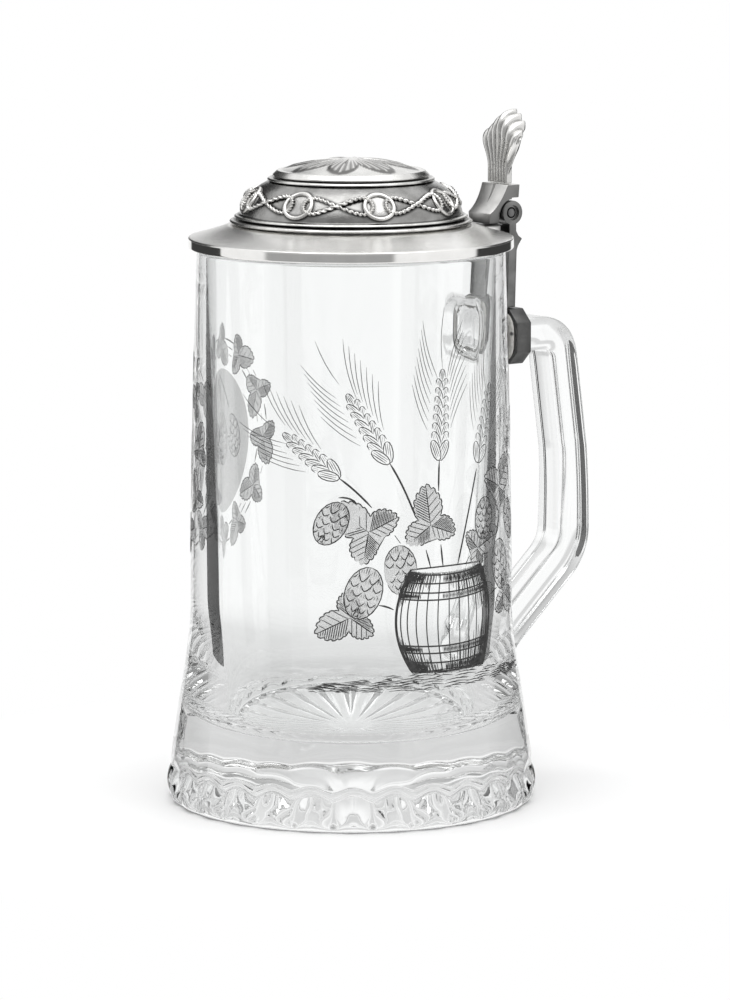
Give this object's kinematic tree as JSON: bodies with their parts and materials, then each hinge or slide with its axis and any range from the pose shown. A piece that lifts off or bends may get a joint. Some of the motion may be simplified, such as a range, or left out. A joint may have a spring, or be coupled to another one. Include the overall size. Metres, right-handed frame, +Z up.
{
  "type": "lidded beer mug",
  "caption": "Clear glass beer mug with a lens-ringed foot, an applied glass handle and a hinged pewter lid opened by a fluted thumb lift.",
  "frame": {"origin": "on the mug's axis, at the middle of the underside, on the table", "axes": "+Z up along the mug's axis, +X towards the handle and the lid's hinge"},
  "size_m": [0.1346, 0.106, 0.1958],
  "materials": {
    "glass": "clear, fire-polished",
    "bright_pewter": "satin turned pewter",
    "dark_pewter": "antiqued cast pewter",
    "bedding": "matt white setting plaster",
    "print_ink": "fired black enamel ink",
    "print_tint": "fired pale grey enamel tint"
  },
  "bodies": {
    "mug": {"mug_body": "glass", "mug_handle": "glass", "collar_saddle": "dark_pewter", "collar_keeper": "dark_pewter", "collar_bedding": "bedding", "strap": "dark_pewter", "hinge_pin": "dark_pewter"},
    "lid": {"hinge_block": "dark_pewter", "thumb_lift": "bright_pewter", "lid_flange": "bright_pewter", "lid_dome": "dark_pewter", "lid_medallion": "bright_pewter"}
  },
  "joints": [
    {"name": "lid_hinge", "type": "hinge", "parent": "mug", "child": "lid", "pos_m": [0.0525, 0, 0.1659], "axis": [0, 1, 0], "range_deg": [0, 110]}
  ]
}
